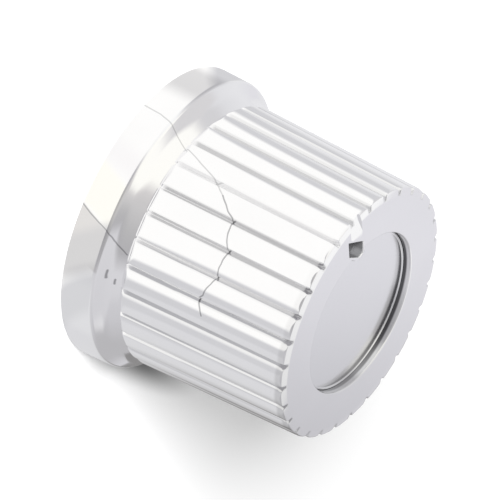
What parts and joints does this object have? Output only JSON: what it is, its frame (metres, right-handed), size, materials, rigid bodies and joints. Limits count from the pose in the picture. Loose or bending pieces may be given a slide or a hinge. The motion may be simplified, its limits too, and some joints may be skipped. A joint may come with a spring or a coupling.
{
  "type": "push-on control knob",
  "caption": "Fluted push-on control knob with a flared skirt, a disc let into its face, a pointer notch and a split collar for a 6 mm shaft.",
  "frame": {"origin": "centre of the skirt's rear edge, on the shaft's axis", "axes": "+Z along the shaft's axis towards the face; the pointer notch lies 146 degrees round from +X towards +Y"},
  "size_m": [0.022, 0.022, 0.0178],
  "materials": {
    "plated_body": "bright satin plating over moulded plastic",
    "disc_metal": "smooth bright",
    "spring_steel": "bright spring temper"
  },
  "bodies": {
    "root": {"knob_body": "plated_body", "face_disc": "disc_metal", "shaft_spring": "spring_steel"}
  },
  "joints": []
}
